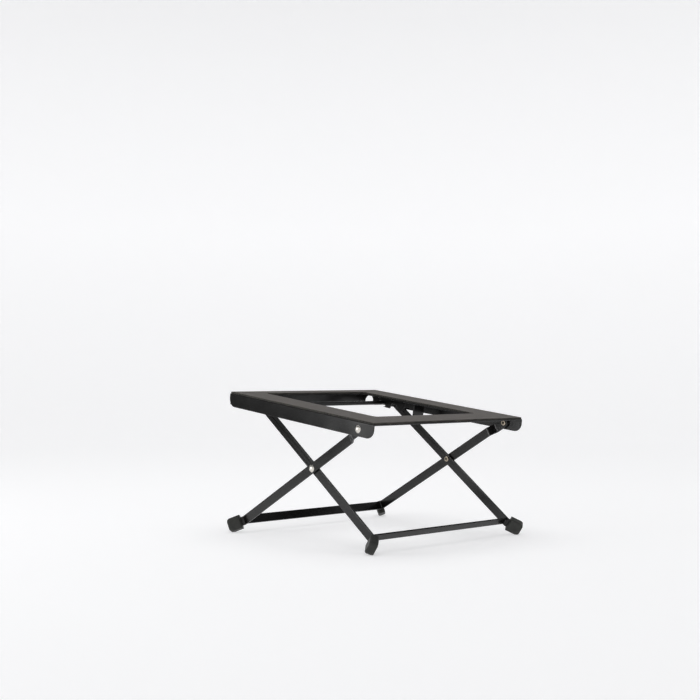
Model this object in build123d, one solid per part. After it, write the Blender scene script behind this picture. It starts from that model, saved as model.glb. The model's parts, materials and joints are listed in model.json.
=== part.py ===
from build123d import *
import math
import os

# Folding foot rest for a seated player: an open rectangular top plate with a rubber mat,
# carried by two flat-bar frames that cross like an X.  The outer frame is riveted to the
# side flanges of the plate, and a rod across the inner frame rests in a notched rack.
# Millimetres, +Z up.  The origin is on the floor, in the middle of the footprint.
# +X is the right side, +Y is the far (high) end, -Y is the near (hinged) end.

# Top plate, folded from sheet; its own frame has z = 0 on the upper face of the mat
PLATE_W = 281.0
PLATE_L = 302.0
PLATE_TILT = 6.74
PLATE_HEIGHT = 180.3
SHEET_T = 1.5
FOLD_R = 1.2
FLANGE_DEPTH = 21.0
FLANGE_CORNER_R = 12.0
LIP_DEPTH = 18.5

# Window in the plate, as the widths of the bars that are left round it
SIDE_BAR = 46.8
NEAR_BAR = 47.5
FAR_BAR = 24.4
WINDOW_R = 4.0

# Arched slots in the far lip, where the folded legs pass
SLOT_W = 17.0
SLOT_TOP = 8.5
SLOT_LAND = 1.5

# Rubber mat
MAT_T = 2.5
MAT_INSET = 0.9
MAT_EDGE_R = 0.6

# Flat bar of both frames
BAR_W = 12.7
BAR_T = 2.4
BEND_R = 5.0

# Pivots: the plate pivot is counted from the plate's near end, the crossing is in the world
PIVOT_FROM_END = 28.6
PIVOT_DEPTH = 11.9
CROSSING_Y = -19.6
CROSSING_Z = 98.5
LEG_INSET = 13.2
FRAME_GAP = 1.0
FLANGE_GAP = 1.0
JOG_START = 27.0
JOG_RUN = 10.0

# Feet: the lower end of each leg bends outward and carries a cap
FOOT_BEND = 42.0
CAP_L = 19.5
OUTER_MOUTH_GAP = 3.0
INNER_MOUTH_GAP = 0.3
CAP_W = 19.5
CAP_T = 11.5
CAP_END_WALL = 3.5
CAP_CORNER_R = 5.0
CAP_EDGE_R = 2.2
CAP_GRIP = 0.04
FOOT_FLAT = 0.6

# Bars across the frames, just above the foot bends
OUTER_CROSS_W = 12.7
INNER_CROSS_W = 10.0
CROSS_T = 2.4
CROSS_OFFSET = 3.6

# Rod across the inner frame, and its seat in the farthest notch
ROD_R = 3.0
ROD_FROM_FAR_END = 59.8
ROD_DEPTH = 11.9
ROD_CHAMFER = 0.4

# Notched racks under the side bars
RACK_FROM_WINDOW = 7.4
RACK_T = 2.0
TAB_TO_LEG = 5.0
RACK_FOLD_R = 1.0
NOTCHES = 3
NOTCH_PITCH = 27.3
NOTCH_TOP_W = 9.1
NOTCH_DROP = 9.0
NOTCH_FAR_FLARE = 5.4
NOTCH_NEAR_FLARE = 4.0
HOOK_REACH = 4.8
HOOK_T = 1.6
NOTCH_R = 1.5
RACK_FALL = 0.0517
SEAT_BACK = 1.4
SEAT_TOP = 0.35
FAR_TOOTH = 7.5
LAST_NOTCH_L = 9.0
LAST_NOTCH_SLOPE = 3.3
TAB_TOP = 6.9
TAB_DROP = 1.2

# Rivets and washers
RIVET_R = 3.0
HEAD_R = 5.0
HEAD_H = 2.3
TAIL_R = 3.8
TAIL_H = 1.5
TAIL_BORE_R = 2.2
TAIL_BORE_DEPTH = 4.0
WASHER_R = 5.6
RUNNING_FIT = 0.06
FIXED_FIT = 0.02
SIDE_PLAY = 0.1

# Sizes that follow from the ones above
SHEET_TOP = -MAT_T
SHEET_UNDER = SHEET_TOP - SHEET_T
WINDOW_W = PLATE_W - 2 * SIDE_BAR
WINDOW_L = PLATE_L - NEAR_BAR - FAR_BAR
WINDOW_Y = (NEAR_BAR - FAR_BAR) / 2
PIVOT_Y = PIVOT_FROM_END - PLATE_L / 2
ROD_Y = PLATE_L / 2 - ROD_FROM_FAR_END
FLANGE_IN_X = PLATE_W / 2 - SHEET_T
INNER_FACE_X = FLANGE_IN_X - LEG_INSET
RACK_X = WINDOW_W / 2 + RACK_FROM_WINDOW
OUTER_FACE_X = INNER_FACE_X + BAR_T + FRAME_GAP
OUTER_END_X = FLANGE_IN_X - FLANGE_GAP - BAR_T
BEND_REACH = BEND_R * math.tan(math.radians(FOOT_BEND / 2))
OUTER_RUN = CAP_L + OUTER_MOUTH_GAP + BEND_REACH
INNER_RUN = CAP_L + INNER_MOUTH_GAP + BEND_REACH
PLATE_AT = Pos(0, 0, PLATE_HEIGHT) * Rot(PLATE_TILT, 0, 0)


def plate_to_world(y, z):
    """World (y, z) of a point of the plate's frame."""
    point = (PLATE_AT * Pos(0, y, z)).position
    return point.Y, point.Z


PIVOT = plate_to_world(PIVOT_Y, -PIVOT_DEPTH)
ROD = plate_to_world(ROD_Y, -ROD_DEPTH)
CROSSING = (CROSSING_Y, CROSSING_Z)


def heading(start, end):
    """Distance and unit direction from one (y, z) point to another."""
    dy = end[0] - start[0]
    dz = end[1] - start[1]
    length = math.hypot(dy, dz)
    return length, dy / length, dz / length


OUTER_UP, OUTER_DY, OUTER_DZ = heading(CROSSING, PIVOT)
INNER_UP, INNER_DY, INNER_DZ = heading(CROSSING, ROD)


def leg_plane(dy, dz, x=0.0):
    """Plane on the crossing: local x up the leg, local y outward, local z across its width."""
    return Plane(origin=(x, CROSSING_Y, CROSSING_Z), x_dir=(0, dy, dz), z_dir=(0, dz, -dy))


def mirrored(shape):
    return mirror(shape, about=Plane.YZ)


def box_between(x0, x1, y0, y1, z0, z1):
    return Pos((x0 + x1) / 2, (y0 + y1) / 2, (z0 + z1) / 2) * Box(x1 - x0, y1 - y0, z1 - z0)


def across(radius, x0, x1, y=0.0, z=0.0):
    """Cylinder along X between two x values."""
    return Pos((x0 + x1) / 2, y, z) * Rot(0, 90, 0) * Cylinder(radius, x1 - x0)


# ---------------------------------------------------------------- top plate

def window_cut(height, margin=0.0):
    outline = RectangleRounded(WINDOW_W + 2 * margin, WINDOW_L + 2 * margin, WINDOW_R + margin)
    return Pos(0, WINDOW_Y, -height) * extrude(outline, 2 * height)


def flange():
    height = FLANGE_DEPTH - MAT_T
    outline = Rectangle(PLATE_L, height)
    lower = outline.vertices().group_by(Axis.Y)[0]
    outline = fillet(lower, FLANGE_CORNER_R)
    middle = SHEET_TOP - height / 2
    return extrude(Plane.YZ.offset(FLANGE_IN_X) * Pos(0, middle) * outline, SHEET_T)


def lip():
    """Far lip between the flanges, with one arched slot beside each flange."""
    wall = box_between(-FLANGE_IN_X, FLANGE_IN_X, PLATE_L / 2 - SHEET_T, PLATE_L / 2,
                       -LIP_DEPTH, SHEET_TOP)
    for side in (-1, 1):
        middle = side * (FLANGE_IN_X - SLOT_LAND - SLOT_W / 2)
        top = -SLOT_TOP - SLOT_W / 2
        arch = Pos(middle, PLATE_L / 2, top) * Rot(90, 0, 0) * Cylinder(SLOT_W / 2, 6 * SHEET_T)
        leg_way = box_between(middle - SLOT_W / 2, middle + SLOT_W / 2, PLATE_L / 2 - 3 * SHEET_T,
                              PLATE_L / 2 + 3 * SHEET_T, -LIP_DEPTH - 1, top)
        wall = wall - arch - leg_way
    return wall


def top_plate():
    sheet = box_between(-PLATE_W / 2, PLATE_W / 2, -PLATE_L / 2, PLATE_L / 2, SHEET_UNDER, SHEET_TOP)
    plate = sheet + flange() + mirrored(flange()) + lip()
    top = plate.faces().sort_by(Axis.Z)[-1]
    folds = top.edges().filter_by(Axis.Y) + top.edges().filter_by(Axis.X).sort_by(Axis.Y)[-1:]
    plate = fillet(folds, FOLD_R)
    plate = plate - window_cut(PLATE_L / 4)
    plate = plate - across(RIVET_R + FIXED_FIT, -PLATE_W, PLATE_W, PIVOT_Y, -PIVOT_DEPTH)
    return PLATE_AT * plate


def rubber_mat():
    outline = Rectangle(PLATE_W - 2 * MAT_INSET, PLATE_L - 2 * MAT_INSET)
    mat = Pos(0, 0, SHEET_TOP) * extrude(outline, MAT_T)
    rim = mat.faces().sort_by(Axis.Z)[-1].edges()
    mat = fillet(rim, MAT_EDGE_R)
    return PLATE_AT * (mat - window_cut(PLATE_L / 4, MAT_INSET))


# ---------------------------------------------------------------- notched racks

def notch_outline(back, top):
    """One notch, open downward: flared walls, and a hook on the tooth at its near side."""
    floor = top - NOTCH_DROP
    hook = back - NOTCH_NEAR_FLARE + HOOK_REACH
    below = floor - 8.0
    return [
        (back, top),
        (back + NOTCH_TOP_W, top),
        (back + NOTCH_TOP_W + NOTCH_FAR_FLARE, floor),
        (back + NOTCH_TOP_W + NOTCH_FAR_FLARE, below),
        (hook, below),
        (hook, floor),
        (back - NOTCH_NEAR_FLARE, floor + HOOK_T),
    ]


def rack():
    """Notched strip with one tab bent outward at each end."""
    first_back = ROD_Y - ROD_R - SEAT_BACK
    first_top = -ROD_DEPTH + ROD_R + SEAT_TOP
    y_far = first_back + NOTCH_TOP_W + NOTCH_FAR_FLARE + FAR_TOOTH
    last_back = first_back - (NOTCHES - 1) * NOTCH_PITCH
    y_near = last_back - LAST_NOTCH_L - RACK_T
    lower_far = first_top - NOTCH_DROP - RACK_FALL * (first_back - y_far)
    lower_near = first_top - NOTCH_DROP - RACK_FALL * (first_back - y_near)
    outline = make_face(Polyline((y_near, SHEET_UNDER), (y_far, SHEET_UNDER), (y_far, lower_far),
                                 (y_near, lower_near), close=True))
    for number in range(NOTCHES):
        back = first_back - number * NOTCH_PITCH
        top = first_top - RACK_FALL * number * NOTCH_PITCH
        gap = make_face(Polyline(*notch_outline(back, top), close=True))
        gap = fillet(gap.vertices().group_by(Axis.Y)[-1], NOTCH_R)
        outline = outline - gap
    last_top = first_top - RACK_FALL * (first_back - last_back)
    behind_tab = [(last_back + NOTCH_R, last_top), (last_back, last_top),
                  (y_near + RACK_T, last_top - LAST_NOTCH_SLOPE), (y_near + RACK_T, lower_near - 1),
                  (last_back + NOTCH_R, lower_near - 1)]
    outline = outline - make_face(Polyline(*behind_tab, close=True))
    left = RACK_X - RACK_T / 2
    strip = extrude(Plane.YZ.offset(left) * outline, RACK_T)
    for y_end, lower, inward in ((y_near, lower_near, 1), (y_far, lower_far, -1)):
        y_other = y_end + inward * RACK_T
        tab = box_between(left, INNER_FACE_X - TAB_TO_LEG, min(y_end, y_other), max(y_end, y_other),
                          lower - TAB_DROP, -TAB_TOP)
        strip = strip + tab
    folds = strip.edges().filter_by(Axis.Z).filter_by(
        lambda edge: abs(edge.center().X - left) < 0.01).sort_by(Axis.Y)
    strip = fillet([folds[0], folds[-1]], RACK_FOLD_R)
    return PLATE_AT * strip


# ---------------------------------------------------------------- frames

def cap_plane(dy, dz):
    """Plane on the end of a foot: local x along the run, local z across the bar's width."""
    turn = math.radians(FOOT_BEND)
    run = (math.sin(turn), -dy * math.cos(turn), -dz * math.cos(turn))
    return Plane(origin=(0, 0, 0), x_dir=run, z_dir=(0, dz, -dy))


def cap_blank():
    """Closed rubber sleeve, with its closed end at local x = 0."""
    face = Pos(-CAP_L / 2, 0) * Rectangle(CAP_L, CAP_W)
    face = fillet(face.vertices().group_by(Axis.X)[-1], CAP_CORNER_R)
    cap = Rot(90, 0, 0) * extrude(face, CAP_T / 2, both=True)
    rim = cap.edges().filter_by(lambda edge: abs(abs(edge.center().Y) - CAP_T / 2) < 0.01)
    return fillet(rim, CAP_EDGE_R)


def foot_end_height(dy, dz):
    """Height of a cap's end over the floor, so that its lowest edge presses into the floor."""
    lowest = (cap_plane(dy, dz) * cap_blank()).bounding_box().min.Z
    return -lowest - FOOT_FLAT


def foot_bend_at(dy, dz, run):
    """Place of the foot bend along the leg, counted from the crossing (negative is downward)."""
    turn = math.radians(FOOT_BEND)
    height = foot_end_height(dy, dz)
    return (height - CROSSING_Z) / dz + run * math.cos(turn)


def foot_end(dy, dz, run, middle_x):
    """World point at the end of a cap."""
    turn = math.radians(FOOT_BEND)
    along = foot_bend_at(dy, dz, run) - run * math.cos(turn)
    return middle_x + run * math.sin(turn), CROSSING_Y + along * dy, CROSSING_Z + along * dz


def foot_cap(dy, dz, run, middle_x):
    socket_l = CAP_L - CAP_END_WALL
    socket = Pos(-CAP_END_WALL - socket_l / 2, 0, 0) * Box(
        socket_l, BAR_T + 2 * CAP_GRIP, BAR_W + 2 * CAP_GRIP)
    cap = cap_plane(dy, dz) * (cap_blank() - socket)
    cap = Pos(*foot_end(dy, dz, run, middle_x)) * cap
    floor_cut = Pos(0, 0, -CAP_L) * Box(4 * PLATE_W, 4 * PLATE_L, 2 * CAP_L)
    return cap - floor_cut


def bar(points, dy, dz, top):
    """Bent flat bar through (along, outward) points, with a round upper end about `top`."""
    path = FilletPolyline(*points, radius=BEND_R)
    blank = extrude(trace(path, BAR_T), BAR_W / 2, both=True)
    reach = top - points[-1][0] + BAR_W
    outline = Pos(top - reach / 2, 0) * Rectangle(reach, BAR_W) + Pos(top, 0) * Circle(BAR_W / 2)
    trim = Rot(90, 0, 0) * extrude(outline, PLATE_W, both=True)
    return leg_plane(dy, dz) * (blank & trim)


def foot_points(dy, dz, run, middle_x):
    turn = math.radians(FOOT_BEND)
    bend = foot_bend_at(dy, dz, run)
    tip = run - CAP_END_WALL - CAP_GRIP
    end = (bend - tip * math.cos(turn), middle_x + tip * math.sin(turn))
    return [(bend, middle_x), end]


def outer_leg():
    middle = OUTER_FACE_X + BAR_T / 2
    end_middle = OUTER_END_X + BAR_T / 2
    jog_end = OUTER_UP - JOG_START + JOG_RUN
    points = [(OUTER_UP + BAR_W / 2, end_middle), (jog_end, end_middle),
              (OUTER_UP - JOG_START, middle)] + foot_points(OUTER_DY, OUTER_DZ, OUTER_RUN, middle)
    leg = bar(points, OUTER_DY, OUTER_DZ, OUTER_UP)
    leg = leg - across(RIVET_R + RUNNING_FIT, 0, PLATE_W, *PIVOT)
    return leg - across(RIVET_R + FIXED_FIT, 0, PLATE_W, *CROSSING)


def inner_leg():
    middle = INNER_FACE_X + BAR_T / 2
    points = [(INNER_UP + BAR_W / 2, middle)] + foot_points(INNER_DY, INNER_DZ, INNER_RUN, middle)
    leg = bar(points, INNER_DY, INNER_DZ, INNER_UP)
    leg = leg - across(ROD_R + FIXED_FIT, 0, PLATE_W, *ROD)
    return leg - across(RIVET_R + RUNNING_FIT, 0, PLATE_W, *CROSSING)


def crossbar(dy, dz, run, face_x, width):
    along = foot_bend_at(dy, dz, run) + CROSS_OFFSET
    return leg_plane(dy, dz) * Pos(along, 0, 0) * Box(CROSS_T, 2 * face_x, width)


def latch_rod():
    half = INNER_FACE_X + BAR_T
    rod = across(ROD_R, -half, half, *ROD)
    ends = rod.edges().filter_by(GeomType.CIRCLE)
    return chamfer(ends, ROD_CHAMFER)


# ---------------------------------------------------------------- rivets and washers

def rivet(outer_face, inner_face):
    """Rivet along X through everything between two faces: domed outside, rolled hollow inside."""
    tail = inner_face - TAIL_H
    rolled = TAIL_H * 0.6
    ball = (HEAD_R ** 2 + HEAD_H ** 2) / (2 * HEAD_H)
    turn = math.asin(HEAD_R / ball) / 2
    crown = (outer_face + HEAD_H - ball + ball * math.cos(turn), ball * math.sin(turn))
    lower = Polyline((outer_face + HEAD_H, 0), (tail + TAIL_BORE_DEPTH, 0),
                     (tail + TAIL_BORE_DEPTH, TAIL_BORE_R), (tail, TAIL_BORE_R),
                     (tail, TAIL_R - rolled))
    roll = ThreePointArc((tail, TAIL_R - rolled),
                         (tail + rolled * (1 - math.sqrt(0.5)), TAIL_R - rolled * (1 - math.sqrt(0.5))),
                         (tail + rolled, TAIL_R))
    upper = Polyline((tail + rolled, TAIL_R), (inner_face, TAIL_R), (inner_face, RIVET_R),
                     (outer_face, RIVET_R), (outer_face, HEAD_R))
    dome = ThreePointArc((outer_face, HEAD_R), crown, (outer_face + HEAD_H, 0))
    return revolve(make_face([lower, roll, upper, dome]), Axis.X)


def washer(x0, x1):
    return across(WASHER_R, x0, x1) - across(RIVET_R + FIXED_FIT, x0 - 1, x1 + 1)


def centre_rivet():
    return Pos(0, *CROSSING) * rivet(OUTER_FACE_X + BAR_T, INNER_FACE_X - SIDE_PLAY)


def centre_washer():
    return Pos(0, *CROSSING) * washer(INNER_FACE_X + BAR_T + SIDE_PLAY, OUTER_FACE_X)


def plate_rivet():
    return Pos(0, *PIVOT) * rivet(FLANGE_IN_X + SHEET_T, OUTER_END_X - SIDE_PLAY)


def plate_washer():
    return Pos(0, *PIVOT) * washer(OUTER_END_X + BAR_T + SIDE_PLAY, FLANGE_IN_X)


# ---------------------------------------------------------------- output

def one_of_each():
    return {
        "top_plate": top_plate(),
        "rubber_mat": rubber_mat(),
        "outer_crossbar": crossbar(OUTER_DY, OUTER_DZ, OUTER_RUN, OUTER_FACE_X, OUTER_CROSS_W),
        "inner_crossbar": crossbar(INNER_DY, INNER_DZ, INNER_RUN, INNER_FACE_X, INNER_CROSS_W),
        "latch_rod": latch_rod(),
    }


def one_per_side():
    outer_middle = OUTER_FACE_X + BAR_T / 2
    inner_middle = INNER_FACE_X + BAR_T / 2
    return {
        "rack": rack(),
        "outer_leg": outer_leg(),
        "inner_leg": inner_leg(),
        "outer_foot_cap": foot_cap(OUTER_DY, OUTER_DZ, OUTER_RUN, outer_middle),
        "inner_foot_cap": foot_cap(INNER_DY, INNER_DZ, INNER_RUN, inner_middle),
        "centre_rivet": centre_rivet(),
        "centre_washer": centre_washer(),
        "plate_rivet": plate_rivet(),
        "plate_washer": plate_washer(),
    }


def write(name, shape):
    solids = shape.solids()
    kept = solids[0] if len(solids) == 1 else Compound(children=solids)
    kept.label = name
    export_step(kept, "parts/" + name + ".step")
    print(name, len(solids), round(kept.volume, 1))


def main():
    os.makedirs("parts", exist_ok=True)
    for name, shape in one_of_each().items():
        write(name, shape)
    for name, shape in one_per_side().items():
        write(name + "_right", shape)
        write(name + "_left", mirrored(shape))
    print("plate pivot", PIVOT, "crossing", CROSSING, "rod", ROD)


main()
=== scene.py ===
# %% [markdown]
# # A folding foot rest, finished in Blender
#
# The object is a low stand for the foot of a seated player.  An open top plate of folded
# black sheet carries a grey rubber mat.  Two flat-bar frames cross under it like an X, and a
# rod between the inner legs rests in notched racks, which set the height.
#
# The shapes come from a CAD model that is already the right size.  This lesson keeps those
# shapes, and adds what a CAD model leaves out: paint, rubber and metal that look real, softened
# edges, weld beads, light and a camera.  Everything is in metres, with +Z up.

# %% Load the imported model
import json
import math

import bmesh
import bpy
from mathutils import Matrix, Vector


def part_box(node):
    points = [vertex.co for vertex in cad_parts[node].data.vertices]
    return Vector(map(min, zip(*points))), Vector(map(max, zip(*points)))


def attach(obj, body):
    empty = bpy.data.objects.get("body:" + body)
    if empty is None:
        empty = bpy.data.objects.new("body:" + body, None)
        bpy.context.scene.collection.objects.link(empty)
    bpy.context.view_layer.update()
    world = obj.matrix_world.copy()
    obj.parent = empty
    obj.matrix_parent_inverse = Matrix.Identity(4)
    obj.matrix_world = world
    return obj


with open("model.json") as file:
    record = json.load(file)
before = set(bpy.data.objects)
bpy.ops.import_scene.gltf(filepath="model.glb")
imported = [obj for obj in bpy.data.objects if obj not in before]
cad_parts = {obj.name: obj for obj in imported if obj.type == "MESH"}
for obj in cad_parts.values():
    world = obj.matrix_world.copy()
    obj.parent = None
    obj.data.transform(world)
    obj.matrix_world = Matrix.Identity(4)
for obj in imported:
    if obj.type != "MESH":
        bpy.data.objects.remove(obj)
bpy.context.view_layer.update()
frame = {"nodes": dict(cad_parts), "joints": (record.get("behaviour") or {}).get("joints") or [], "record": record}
nodes = frame["nodes"]
joints = {joint["name"]: joint for joint in frame["joints"]}

# %% [markdown]
# ## The camera
#
# The stand is looked at from its left front corner, with the camera a little above the top
# plate's height and tipped up by about one degree, so the top is seen almost edge on.  A camera
# can be aimed with a constraint or with a rotation in degrees.  Here it is placed on a sphere
# round a target point, because azimuth, elevation and distance are easy to think about, and
# `to_track_quat` turns the direction into a rotation.

# %% Place the camera
VIEW_AZIMUTH = math.radians(-41.71)
VIEW_ELEVATION = math.radians(-1.22)
VIEW_DISTANCE = 1.6172
VIEW_TARGET = Vector((-0.0217, 0.0277, 0.2566))
LENS_MM = 58.93
SENSOR_MM = 36.0


def direction_to(azimuth, elevation):
    """Unit vector from the target towards a viewer; azimuth 0 is the -Y side."""
    flat = math.cos(elevation)
    return Vector((math.sin(azimuth) * flat, -math.cos(azimuth) * flat, math.sin(elevation)))


camera_data = bpy.data.cameras.new("camera")
camera_data.lens = LENS_MM
camera_data.sensor_width = SENSOR_MM
camera = bpy.data.objects.new("camera", camera_data)
bpy.context.scene.collection.objects.link(camera)
to_viewer = direction_to(VIEW_AZIMUTH, VIEW_ELEVATION)
camera.location = VIEW_TARGET + VIEW_DISTANCE * to_viewer
camera.rotation_mode = "QUATERNION"
camera.rotation_quaternion = (-to_viewer).to_track_quat("-Z", "Y")
bpy.context.scene.camera = camera
print("camera at", [round(value, 3) for value in camera.location])

# %% [markdown]
# ## The studio
#
# Small products are shot on a paper sweep: a floor that curves up into a wall with no line
# between them.  A plane would show its horizon.  A turned profile is used instead, so that the
# background is the same from every side.  The paper glows a little by itself, which stands for
# the lamps that light it from outside, and keeps the contact shadows faint.

# %% Turn the paper sweep
SWEEP_FLOOR_R = 2.3
SWEEP_BEND_R = 0.8
SWEEP_WALL_H = 1.9
SWEEP_STEPS = 96
BEND_STEPS = 16


def sweep_profile():
    """(radius, height) pairs from the middle of the floor to the top of the wall."""
    points = [(0.0, 0.0), (0.4, 0.0), (1.0, 0.0), (SWEEP_FLOOR_R, 0.0)]
    for step in range(1, BEND_STEPS + 1):
        turn = math.radians(90 * step / BEND_STEPS)
        points.append((SWEEP_FLOOR_R + SWEEP_BEND_R * math.sin(turn),
                       SWEEP_BEND_R * (1 - math.cos(turn))))
    return points + [(SWEEP_FLOOR_R + SWEEP_BEND_R, SWEEP_WALL_H)]


def turned_mesh(name, profile, steps):
    """Surface made by turning a profile round the Z axis."""
    mesh = bmesh.new()
    rings = []
    for radius, height in profile:
        if radius == 0.0:
            rings.append([mesh.verts.new((0, 0, height))])
            continue
        rings.append([mesh.verts.new((radius * math.cos(2 * math.pi * k / steps),
                                      radius * math.sin(2 * math.pi * k / steps), height))
                      for k in range(steps)])
    for inner, outer in zip(rings, rings[1:]):
        for k in range(steps):
            after = (k + 1) % steps
            if len(inner) == 1:
                mesh.faces.new((inner[0], outer[k], outer[after]))
            else:
                mesh.faces.new((inner[k], outer[k], outer[after], inner[after]))
    for face in mesh.faces:
        face.smooth = True
    data = bpy.data.meshes.new(name)
    mesh.to_mesh(data)
    mesh.free()
    return data


sweep_data = turned_mesh("paper_sweep", sweep_profile(), SWEEP_STEPS)
print("sweep faces:", len(sweep_data.polygons))

# %% Colour the sweep
PAPER_GLOW = 0.445


def studio_finish(name, colour, roughness, glow_colour, glow):
    """Plain, faintly glowing material for the studio's own pieces, and its shader."""
    material = bpy.data.materials.new(name)
    material.use_nodes = True
    shader = material.node_tree.nodes["Principled BSDF"]
    shader.inputs["Base Color"].default_value = (*colour, 1)
    shader.inputs["Roughness"].default_value = roughness
    shader.inputs["Emission Color"].default_value = (*glow_colour, 1)
    shader.inputs["Emission Strength"].default_value = glow
    return material, shader


def add_to_studio(name, data, material):
    """Puts a mesh with a material into the scene, parented to no body of the stand."""
    data.materials.append(material)
    piece = bpy.data.objects.new(name, data)
    bpy.context.scene.collection.objects.link(piece)
    return piece


paper, paper_shader = studio_finish("white_paper", (0.68, 0.68, 0.683), 0.95,
                                    (0.99, 0.99, 1.0), PAPER_GLOW)
paper_shader.inputs["Specular IOR Level"].default_value = 0.1
add_to_studio("paper_sweep", sweep_data, paper)
print("paper glow:", PAPER_GLOW)

# %% [markdown]
# ## The lights
#
# The stand is black, so what shapes it is less the light that falls on it than what its paint
# reflects.  One wide soft box hangs overhead and gives the top its even tone.  A second one at
# the left fills the sides, and a small bright lamp low in front of it draws the thin bright lines
# on the bends of the bars.  A dim world stands for the rest of the room.  More light would only
# make the paint grey, so its dark parts are made with a dark card: it stands at the left too,
# further back, where the sides of the bars would otherwise mirror the white wall.  Only
# reflections see it.

# %% Hang the lights
FLOOR_MIDDLE = (0, 0, 0)
STAND_MIDDLE = (0, 0, 0.1)
ROOM_COLOUR = (0.96, 0.97, 1.0, 1)
ROOM_LIGHT = 0.18


def soft_box(name, place, target, size, watts):
    """Rectangular area light at a place, turned to face a target; size in metres."""
    data = bpy.data.lights.new(name, "AREA")
    data.shape = "RECTANGLE"
    data.size, data.size_y = size
    data.energy = watts
    lamp = bpy.data.objects.new(name, data)
    lamp.location = place
    lamp.rotation_mode = "QUATERNION"
    lamp.rotation_quaternion = (Vector(target) - Vector(place)).to_track_quat("-Z", "Y")
    lamp.visible_camera = False
    bpy.context.scene.collection.objects.link(lamp)


soft_box("overhead_box", (0.1, 0.2, 2.4), FLOOR_MIDDLE, (2.2, 2.2), 24.0)
soft_box("left_box", (-1.72, 1.06, 0.46), STAND_MIDDLE, (0.85, 0.66), 4.0)
soft_box("left_lamp", (-1.56, 0.95, 0.26), STAND_MIDDLE, (0.30, 0.22), 5.5)
world = bpy.data.worlds.new("room")
world.use_nodes = True
world.node_tree.nodes["Background"].inputs["Color"].default_value = ROOM_COLOUR
world.node_tree.nodes["Background"].inputs["Strength"].default_value = ROOM_LIGHT
bpy.context.scene.world = world
bpy.context.scene.view_settings.view_transform = "Standard"

# %% Stand the dark card
CARD_NEAR_END = (-1.05, 0.84)
CARD_FAR_END = (-0.05, 1.30)
CARD_HEIGHT = 0.75
CARD_GLOW = 0.16

card_corners = [(*CARD_NEAR_END, 0), (*CARD_FAR_END, 0),
                (*CARD_FAR_END, CARD_HEIGHT), (*CARD_NEAR_END, CARD_HEIGHT)]
card_mesh = bpy.data.meshes.new("dark_card")
card_mesh.from_pydata(card_corners, [], [(0, 1, 2, 3)])
# Painted reflection: the card glows faintly, so the bars mirror it as dark grey rather than black.
dark_card_glow, _ = studio_finish("dark_card_glow", (0.03, 0.03, 0.03), 1.0, (1, 1, 1), CARD_GLOW)
card = add_to_studio("dark_card", card_mesh, dark_card_glow)
card.visible_camera = False
card.visible_diffuse = False
card.visible_shadow = False
card.visible_transmission = False
print("card length in m:", round((Vector(CARD_FAR_END) - Vector(CARD_NEAR_END)).length, 2))

# %% [markdown]
# ## Helpers for finishes
#
# Every finish below is a small graph of nodes that works from the object's own coordinates, so
# it needs no unwrapping and no pictures.  The helpers add a node, wire it and hand it back.
# Scales are per metre: a noise of scale 1000 has grains about one millimetre wide.

# %% Node helpers


def new_finish(name):
    """A node material, its shader, and its object-space coordinates."""
    material = bpy.data.materials.new(name)
    material.use_nodes = True
    tree = material.node_tree
    place = tree.nodes.new("ShaderNodeTexCoord").outputs["Object"]
    return material, tree, tree.nodes["Principled BSDF"], place


def link(tree, source, target):
    tree.links.new(source, target)


def noise(tree, place, scale, detail=4.0, roughness=0.55, stretch=None):
    """Noise value between 0 and 1; stretch squeezes it along the axes."""
    if stretch:
        mapping = tree.nodes.new("ShaderNodeMapping")
        mapping.inputs["Scale"].default_value = stretch
        link(tree, place, mapping.inputs["Vector"])
        place = mapping.outputs["Vector"]
    node = tree.nodes.new("ShaderNodeTexNoise")
    node.inputs["Scale"].default_value = scale
    node.inputs["Detail"].default_value = detail
    node.inputs["Roughness"].default_value = roughness
    link(tree, place, node.inputs["Vector"])
    return node.outputs["Fac"]


def cells(tree, place, scale, feature="F1"):
    """Distance from the nearest of many scattered points."""
    node = tree.nodes.new("ShaderNodeTexVoronoi")
    node.feature = feature
    node.inputs["Scale"].default_value = scale
    link(tree, place, node.inputs["Vector"])
    return node.outputs["Distance"]


def between(tree, value, low, high, out_low=0.0, out_high=1.0):
    """Carries a value from one range to another, and holds it at the ends."""
    node = tree.nodes.new("ShaderNodeMapRange")
    for socket, number in (("From Min", low), ("From Max", high),
                           ("To Min", out_low), ("To Max", out_high)):
        node.inputs[socket].default_value = number
    link(tree, value, node.inputs["Value"])
    return node.outputs["Result"]


def maths(tree, operation, first, second):
    """Math node on two inputs, each a socket or a number."""
    node = tree.nodes.new("ShaderNodeMath")
    node.operation = operation
    for slot, value in enumerate((first, second)):
        if isinstance(value, (int, float)):
            node.inputs[slot].default_value = value
        else:
            link(tree, value, node.inputs[slot])
    return node.outputs[0]


def colours(tree, factor, first, second):
    """Mix of two colours, each a socket or an (r, g, b)."""
    node = tree.nodes.new("ShaderNodeMix")
    node.data_type = "RGBA"
    link(tree, factor, node.inputs["Factor"])
    for socket, value in ((node.inputs[6], first), (node.inputs[7], second)):
        if isinstance(value, tuple):
            socket.default_value = (*value, 1)
        else:
            link(tree, value, socket)
    return node.outputs[2]


def bump(tree, height, depth, normal=None):
    """Normal of a surface raised by height times depth, in metres."""
    node = tree.nodes.new("ShaderNodeBump")
    node.inputs["Distance"].default_value = depth
    link(tree, height, node.inputs["Height"])
    if normal is not None:
        link(tree, normal, node.inputs["Normal"])
    return node.outputs["Normal"]


def rounded_normal(tree, radius):
    """Normal that rolls over sharp edges within a radius."""
    node = tree.nodes.new("ShaderNodeBevel")
    node.samples = 6
    node.inputs["Radius"].default_value = radius
    return node.outputs["Normal"]


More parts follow.
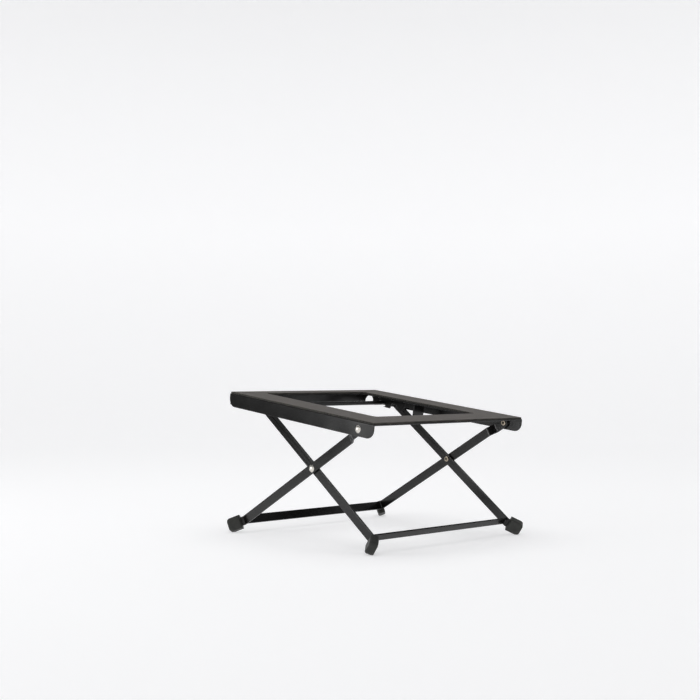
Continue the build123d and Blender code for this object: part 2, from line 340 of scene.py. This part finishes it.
def edge_mask(tree, radius, low, high):
    """About 1 along sharp edges and 0 on flat faces."""
    dot = tree.nodes.new("ShaderNodeVectorMath")
    dot.operation = "DOT_PRODUCT"
    link(tree, rounded_normal(tree, radius), dot.inputs[0])
    link(tree, tree.nodes.new("ShaderNodeNewGeometry").outputs["Normal"], dot.inputs[1])
    return between(tree, dot.outputs["Value"], high, low)


def upward(tree, low, high):
    """About 1 on faces that look up and 0 on the rest."""
    split = tree.nodes.new("ShaderNodeSeparateXYZ")
    link(tree, tree.nodes.new("ShaderNodeNewGeometry").outputs["Normal"], split.inputs[0])
    return between(tree, split.outputs["Z"], low, high)


print("finish helpers ready")

# %% [markdown]
# ## Satin black paint
#
# Plate, bars, rod and racks are stove-enamelled steel.  Such paint is never quite even: it has
# a faint orange peel, some areas are duller than others, dust settles on what faces up, and
# handling rubs the edges.  A black base with one roughness would look like plastic, so the
# roughness, the colour and the bump each get their own noise.

# %% Mix the black paint
CLOUD_SCALE = 34.0
DUST_SCALE = 900.0
RUB_SCALE = 260.0
SMUDGE_SCALE = 26.0
PEEL_SCALE = 1300.0
EDGE_REACH = 0.0006
PAINT_ROUNDING = 0.0005
DUST_COLOUR = (0.10, 0.098, 0.095)
RUBBED_COLOUR = (0.075, 0.075, 0.077)


def black_paint(name, base, rough, peel=0.00003, gloss=0.40):
    """Stoved paint of a base colour and roughness; peel is its unevenness in metres."""
    material, tree, shader, place = new_finish(name)
    cloud = noise(tree, place, CLOUD_SCALE, 5.0)
    colour = colours(tree, between(tree, cloud, 0.35, 0.65), tuple(0.78 * c for c in base),
                     tuple(1.25 * c for c in base))
    grains = between(tree, noise(tree, place, DUST_SCALE, 6.0, 0.7), 0.62, 0.78)
    dust = maths(tree, "MULTIPLY", grains, upward(tree, 0.2, 0.95))
    colour = colours(tree, maths(tree, "MULTIPLY", dust, 0.35), colour, DUST_COLOUR)
    handled = between(tree, noise(tree, place, RUB_SCALE, 5.0, 0.65), 0.46, 0.66)
    rub = maths(tree, "MULTIPLY", edge_mask(tree, EDGE_REACH, 0.80, 0.97), handled)
    colour = colours(tree, maths(tree, "MULTIPLY", rub, 0.45), colour, RUBBED_COLOUR)
    link(tree, colour, shader.inputs["Base Color"])
    smudge = between(tree, noise(tree, place, SMUDGE_SCALE, 5.0, 0.55), 0.3, 0.7,
                     rough - 0.03, rough + 0.04)
    link(tree, maths(tree, "SUBTRACT", smudge, maths(tree, "MULTIPLY", rub, 0.1)),
         shader.inputs["Roughness"])
    shader.inputs["Specular IOR Level"].default_value = gloss
    skin = noise(tree, place, PEEL_SCALE, 3.0, 0.5)
    link(tree, bump(tree, skin, peel, rounded_normal(tree, PAINT_ROUNDING)),
         shader.inputs["Normal"])
    return material


satin_black = black_paint("satin_black_paint", (0.0030, 0.0029, 0.0027), 0.19)
# Painted shade: the plate gets a slightly darker copy of the same black paint, which darkens its flanges as if in
# shade.
shaded_plate_black = black_paint("shaded_satin_black_plate", (0.0026, 0.0025, 0.0023), 0.20, gloss=0.42)
weld_black = black_paint("painted_weld", (0.016, 0.016, 0.0162), 0.36, 0.00012)
print("paint nodes:", len(satin_black.node_tree.nodes))

# %% [markdown]
# ## Rubber
#
# The mat is a warm grey rubber with a fine pebbled skin and faint streaks across it, dusty on
# top.  Its cut sides are painted almost black, partly the rubber's own colour and partly painted
# shade, and there the streaks show as fine ribs.  The feet are a harder, greener rubber that was
# moulded, with a slight sheen and scuffs where they touch the floor.  Pebbles are made from cell
# distances rather than noise, because pressed grain has rounded islands with narrow valleys.

# %% Mix the mat's rubber
MAT_PEBBLE_SCALE = 820.0
MAT_PEBBLE_DEPTH = 0.00018
STREAKS_ACROSS = (0.08, 1.0, 1.0)
RIBS_UPRIGHT = (0.25, 1.0, 2.0)


def mat_rubber():
    """Dusty grey rubber on top; the cut sides nearly black, partly in painted shade."""
    material, tree, shader, place = new_finish("grey_mat_rubber")
    patches = noise(tree, place, 22.0, 5.0, 0.6)
    colour = colours(tree, between(tree, patches, 0.3, 0.7), (0.098, 0.089, 0.081),
                     (0.132, 0.121, 0.111))
    streaks = noise(tree, place, 700.0, 3.0, 0.55, STREAKS_ACROSS)
    colour = colours(tree, between(tree, streaks, 0.55, 0.72, 0.0, 0.6), colour,
                     (0.075, 0.068, 0.061))
    speck = between(tree, noise(tree, place, 1500.0, 2.0), 0.35, 0.65)
    colour = colours(tree, maths(tree, "MULTIPLY", speck, 0.35), colour, (0.19, 0.175, 0.16))
    ribs = between(tree, noise(tree, place, 420.0, 3.0, 0.5, RIBS_UPRIGHT), 0.42, 0.62)
    # Painted shade: the cut sides are made darker than the top, partly for the rubber's own colour and partly for
    # the shade they sit in.
    cut_side_and_painted_shade = colours(tree, ribs, (0.016, 0.015, 0.013), (0.050, 0.045, 0.039))
    colour = colours(tree, upward(tree, 0.45, 0.9), cut_side_and_painted_shade, colour)
    link(tree, colour, shader.inputs["Base Color"])
    link(tree, between(tree, patches, 0.3, 0.7, 0.74, 0.88), shader.inputs["Roughness"])
    shader.inputs["Specular IOR Level"].default_value = 0.3
    pebbles = cells(tree, place, MAT_PEBBLE_SCALE, "SMOOTH_F1")
    fine = noise(tree, place, 2600.0, 3.0)
    height = maths(tree, "ADD", pebbles, maths(tree, "MULTIPLY", fine, 0.4))
    link(tree, bump(tree, height, MAT_PEBBLE_DEPTH), shader.inputs["Normal"])
    return material


grey_rubber = mat_rubber()
print("mat:", grey_rubber.name, "with", len(grey_rubber.node_tree.nodes), "nodes")

# %% Mix the feet's rubber
SCUFF_TOP = 0.006
SCUFF_BOTTOM = 0.0005
FOOT_GRAIN_SCALE = 1900.0
FOOT_GRAIN_DEPTH = 0.00008
FOOT_ROUNDING = 0.0006


def foot_rubber():
    """Moulded dark rubber, scuffed over the lowest few millimetres."""
    material, tree, shader, place = new_finish("moulded_foot_rubber")
    patches = noise(tree, place, 90.0, 5.0, 0.6)
    colour = colours(tree, between(tree, patches, 0.3, 0.7), (0.020, 0.021, 0.019),
                     (0.034, 0.035, 0.031))
    split = tree.nodes.new("ShaderNodeSeparateXYZ")
    link(tree, place, split.inputs[0])
    low_down = between(tree, split.outputs["Z"], SCUFF_TOP, SCUFF_BOTTOM)
    marks = between(tree, noise(tree, place, 700.0, 5.0), 0.4, 0.7)
    scuff = maths(tree, "MULTIPLY", low_down, marks)
    colour = colours(tree, maths(tree, "MULTIPLY", scuff, 0.6), colour, (0.14, 0.138, 0.130))
    link(tree, colour, shader.inputs["Base Color"])
    link(tree, between(tree, patches, 0.3, 0.7, 0.40, 0.54), shader.inputs["Roughness"])
    shader.inputs["Specular IOR Level"].default_value = 0.30
    grain = noise(tree, place, FOOT_GRAIN_SCALE, 4.0, 0.6)
    link(tree, bump(tree, grain, FOOT_GRAIN_DEPTH, rounded_normal(tree, FOOT_ROUNDING)),
         shader.inputs["Normal"])
    return material


feet_rubber = foot_rubber()
print("feet:", feet_rubber.name, "with", len(feet_rubber.node_tree.nodes), "nodes")

# %% [markdown]
# ## Rivets and washers
#
# The rivets are nickel plated and the only bright points of the stand.  Their heads carry fine
# marks from the rivet set, and their rolled tails are duller, with painted shade darkening the
# bore of each tail.  The washers are zinc plated, with the faint crystals that zinc grows.

# %% Mix the metals
TARNISH_SCALE = 420.0
BORE_SHADE_REACH = 0.004
BORE_SHADE_COLOUR = (0.02, 0.018, 0.015)


def turned_inward(tree, place):
    """About 1 on faces that look towards the middle of the stand, and 0 on the rest."""
    halves = tree.nodes.new("ShaderNodeSeparateXYZ")
    link(tree, place, halves.inputs[0])
    looks = tree.nodes.new("ShaderNodeSeparateXYZ")
    link(tree, tree.nodes.new("ShaderNodeNewGeometry").outputs["Normal"], looks.inputs[0])
    outward = maths(tree, "MULTIPLY", maths(tree, "SIGN", halves.outputs["X"], 0.0),
                    looks.outputs["X"])
    return between(tree, outward, 0.2, -0.2)


def plated_metal(name, base, rough, spangle, tail=None):
    """Plating with crystals of a scale; tail colours the faces that look inward, whose bore gets painted shade."""
    material, tree, shader, place = new_finish(name)
    shader.inputs["Metallic"].default_value = 1.0
    tarnish = noise(tree, place, TARNISH_SCALE, 5.0, 0.62)
    colour = colours(tree, between(tree, tarnish, 0.35, 0.7), base, tuple(0.72 * c for c in base))
    if tail:
        # Painted shade: occlusion darkens the bore of each rivet tail almost to black.
        bore_occlusion = tree.nodes.new("ShaderNodeAmbientOcclusion")
        bore_occlusion.samples = 8
        bore_occlusion.inputs["Distance"].default_value = BORE_SHADE_REACH
        outside_bore_shade = between(tree, bore_occlusion.outputs["AO"], 0.25, 0.75)
        tail_and_bore_shade = colours(tree, outside_bore_shade, BORE_SHADE_COLOUR, tail)
        colour = colours(tree, turned_inward(tree, place), colour, tail_and_bore_shade)
    link(tree, colour, shader.inputs["Base Color"])
    grain = cells(tree, place, spangle)
    rough_here = between(tree, maths(tree, "ADD", grain, tarnish), 0.4, 1.3,
                         rough - 0.07, rough + 0.12)
    link(tree, rough_here, shader.inputs["Roughness"])
    marks = noise(tree, place, 1800.0, 3.0, 0.6)
    link(tree, bump(tree, marks, 0.00003), shader.inputs["Normal"])
    return material


bright_nickel = plated_metal("bright_nickel", (0.80, 0.77, 0.71), 0.20, 900.0, (0.42, 0.36, 0.29))
dull_zinc = plated_metal("dull_zinc", (0.50, 0.505, 0.515), 0.42, 1500.0)
print("metals:", bright_nickel.name, dull_zinc.name)

# %% [markdown]
# ## Give every part its finish
#
# The record of the model says what each part is made of.  A dictionary from that slot to the
# finish made above keeps the choice in one place.

# %% Assign the finishes
FINISHES = {"black_steel": satin_black, "mat_rubber": grey_rubber, "cap_rubber": feet_rubber,
            "rivet_nickel": bright_nickel, "washer_steel": dull_zinc}

for part in frame["record"]["subparts"]:
    node = nodes[part["node"]]
    node.data.materials.clear()
    node.data.materials.append(FINISHES[part["material_slot"]])
# Painted shade: the top plate takes the darker copy of the black paint.
nodes["top_plate"].data.materials[0] = shaded_plate_black

# %% [markdown]
# ## Softened edges
#
# A real bar has no knife edges: shears, paint and handling round them by a few tenths of a
# millimetre, and that is where light catches.  The CAD mesh may not be edited, but a modifier
# may be laid over it.  Weld joins the vertices that the file format split, Bevel rounds every
# edge sharper than the limit, and Weighted Normal keeps the flat faces looking flat.

# %% Round the sharp edges of the steel and the feet
EDGE_LIMIT = math.radians(32)
BAR_EDGE = 0.00045
SHEET_EDGE = 0.00022


def soften_edges(node, width, segments):
    """Rounds the sharp edges of a CAD shape over a width; its own vertices stay put."""
    weld = node.modifiers.new("join_split_vertices", "WELD")
    weld.merge_threshold = 1e-6
    bevel = node.modifiers.new("round_edges", "BEVEL")
    bevel.width = width
    bevel.segments = segments
    bevel.limit_method = "ANGLE"
    bevel.angle_limit = EDGE_LIMIT
    bevel.use_clamp_overlap = True
    node.modifiers.new("flat_faces_stay_flat", "WEIGHTED_NORMAL").keep_sharp = False
    for face in node.data.polygons:
        face.use_smooth = True


for name, node in nodes.items():
    if "leg" in name or "crossbar" in name:
        soften_edges(node, BAR_EDGE, 3)
    elif "rack" in name or name == "top_plate":
        soften_edges(node, SHEET_EDGE, 2)
print("softened:", sum(1 for node in nodes.values() if node.modifiers))

# %% [markdown]
# ## Weld beads
#
# The two crossbars are welded between the legs, and the racks are tacked under the plate.  A
# weld is a row of overlapping drops.  A sculpted lump would do from afar; here a ring of points
# is swept along the joint, its radius swells with every drop, and its front leans forward at the
# crown, which gives the fish-scale look.

# %% Frames of the joints, taken from the model
across_bars = Vector((1, 0, 0))
crossing = Vector(joints["leg_fold"]["pos_m"])
plate_pivot = Vector(joints["plate_hinge"]["pos_m"])
mat_mount = frame["record"]["mounts"][0]
plate_up = Vector(mat_mount["axis"]).normalized()
plate_along = plate_up.cross(across_bars)


def middle_of(name):
    low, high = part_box(name)
    return (low + high) / 2


rod_middle = middle_of("latch_rod")
outer_up = (plate_pivot - crossing).normalized()
inner_up = (rod_middle - crossing).normalized()
for name, up in (("outer", outer_up), ("inner", inner_up)):
    print(name, "legs rise at", round(math.degrees(math.atan2(up.z, abs(up.y))), 1), "degrees")

# %% Build a weld bead
BEAD_SIDES = 18
BEAD_STEP = 0.00028
DROP_PITCH = 0.0013
DROP_SWELL = 0.16
DROP_LEAN = 0.45
DROP_DRIFT = 0.13
SLOW_SWELL = 0.05
END_SQUARENESS = 6
END_TIP = 0.02


def bead_mesh(name, points, normals, binormals, radius, seed):
    """Rippled bead along points; normal is the crown's direction, closed at both ends."""
    mesh = bmesh.new()
    rings = []
    count = len(points)
    for k, (point, normal, side) in enumerate(zip(points, normals, binormals)):
        share = k / (count - 1)
        end = min(1.0, math.sqrt(max(0.0, 1 - (2 * share - 1) ** END_SQUARENESS)) + END_TIP)
        drop = (k * BEAD_STEP / DROP_PITCH + DROP_DRIFT * math.sin(seed + 5 * share)) % 1.0
        swell = 1 + DROP_SWELL * (drop - 0.5) + SLOW_SWELL * math.sin(seed * 3 + 11 * share)
        ring = []
        for j in range(BEAD_SIDES):
            turn = 2 * math.pi * j / BEAD_SIDES
            lean = normal.cross(side) * (DROP_LEAN * radius * max(0.0, math.cos(turn)))
            ring.append(mesh.verts.new(point + lean + radius * end * swell
                                       * (math.cos(turn) * normal + math.sin(turn) * side)))
        rings.append(ring)
    for before, after in zip(rings, rings[1:]):
        for j in range(BEAD_SIDES):
            following = (j + 1) % BEAD_SIDES
            mesh.faces.new((before[j], before[following], after[following], after[j]))
    mesh.faces.new(list(reversed(rings[0])))
    mesh.faces.new(rings[-1])
    bmesh.ops.recalc_face_normals(mesh, faces=mesh.faces)
    for face in mesh.faces:
        face.smooth = True
    data = bpy.data.meshes.new(name)
    mesh.to_mesh(data)
    mesh.free()
    return data


def add_piece(name, data, finish, body):
    """Adds a mesh with a finish as a piece that rides on a body."""
    piece = bpy.data.objects.new(name, data)
    piece.data.materials.append(finish)
    bpy.context.scene.collection.objects.link(piece)
    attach(piece, body)


def straight_bead(name, middle, along, crown, length, radius, body, seed):
    """Bead on a straight joint, with its crown in the given direction."""
    steps = max(8, round(length / BEAD_STEP))
    points = [middle + along * (length * (k / steps - 0.5)) for k in range(steps + 1)]
    side = along.cross(crown).normalized()
    data = bead_mesh(name, points, [crown] * len(points), [side] * len(points), radius, seed)
    add_piece(name, data, weld_black, body)


print("bead ready: drops every", round(1000 * DROP_PITCH, 1), "mm")

# %% Weld the crossbars
CROSSBAR_T = 0.0024
CROSSBAR_BEAD_R = 0.0015
BEAD_SINK = 0.0002
BEAD_SHARE = 0.82

for frame_name, up in (("outer", outer_up), ("inner", inner_up)):
    bar_name = frame_name + "_crossbar"
    low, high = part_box(bar_name)
    width_way = up.cross(across_bars).normalized()
    width = (high.z - low.z - CROSSBAR_T * abs(up.z)) / abs(width_way.z)
    for side, end in (("left", low.x), ("right", high.x)):
        inward = Vector((-math.copysign(1, end), 0, 0))
        for face, sign in (("upper", 1), ("lower", -1)):
            corner = middle_of(bar_name) + up * (sign * CROSSBAR_T / 2)
            corner.x = end
            crown = (inward + up * sign).normalized()
            straight_bead(f"weld_{frame_name}_{side}_{face}", corner - crown * BEAD_SINK,
                          width_way, crown, BEAD_SHARE * width, CROSSBAR_BEAD_R,
                          frame_name + "_frame", len(side) + 2.1 * sign + up.y)
    print(bar_name, "width in mm:", round(1000 * width, 1))

# %% Tack the racks under the plate
MAT_AND_SHEET_T = 0.0040
TACK_R = 0.0011
TACK_L = 0.009
TACK_PLACES = {"near": 0.22, "middle": 0.52, "far": 0.84}

mat_point = Vector(mat_mount["pos_m"])
for side in ("left", "right"):
    low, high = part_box("rack_" + side)
    inner_x = high.x if side == "left" else low.x
    inward = Vector((-math.copysign(1, inner_x), 0, 0))
    for place, share in TACK_PLACES.items():
        reach = (low.y + share * (high.y - low.y) - mat_point.y) / plate_along.y
        corner = mat_point + plate_along * reach - plate_up * MAT_AND_SHEET_T
        corner.x = inner_x
        crown = (inward - plate_up).normalized()
        straight_bead(f"tack_{side}_{place}", corner, plate_along, crown, TACK_L, TACK_R, "top",
                      7 * share + len(side))

# %% Weld the rod's ends
ROD_BEAD_R = 0.0009

rod_low, rod_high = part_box("latch_rod")
rod_radius = (rod_high.z - rod_low.z) / 2
for side in ("left", "right"):
    low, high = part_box("inner_leg_" + side)
    face_x = high.x if side == "left" else low.x
    inward = Vector((-math.copysign(1, face_x), 0, 0))
    steps = round(2 * math.pi * rod_radius / BEAD_STEP)
    turns = [2 * math.pi * k / steps for k in range(steps + 1)]
    rays = [Vector((0, math.cos(turn), math.sin(turn))) for turn in turns]
    points = [Vector((face_x, rod_middle.y, rod_middle.z)) + ray * rod_radius for ray in rays]
    crowns = [(ray + inward).normalized() for ray in rays]
    sides = [across_bars.cross(ray).cross(crown).normalized() for ray, crown in zip(rays, crowns)]
    data = bead_mesh(f"rod_weld_{side}", points, crowns, sides, ROD_BEAD_R, len(side))
    add_piece(f"rod_weld_{side}", data, weld_black, "inner_frame")
print("rod radius in mm:", round(1000 * rod_radius, 2))
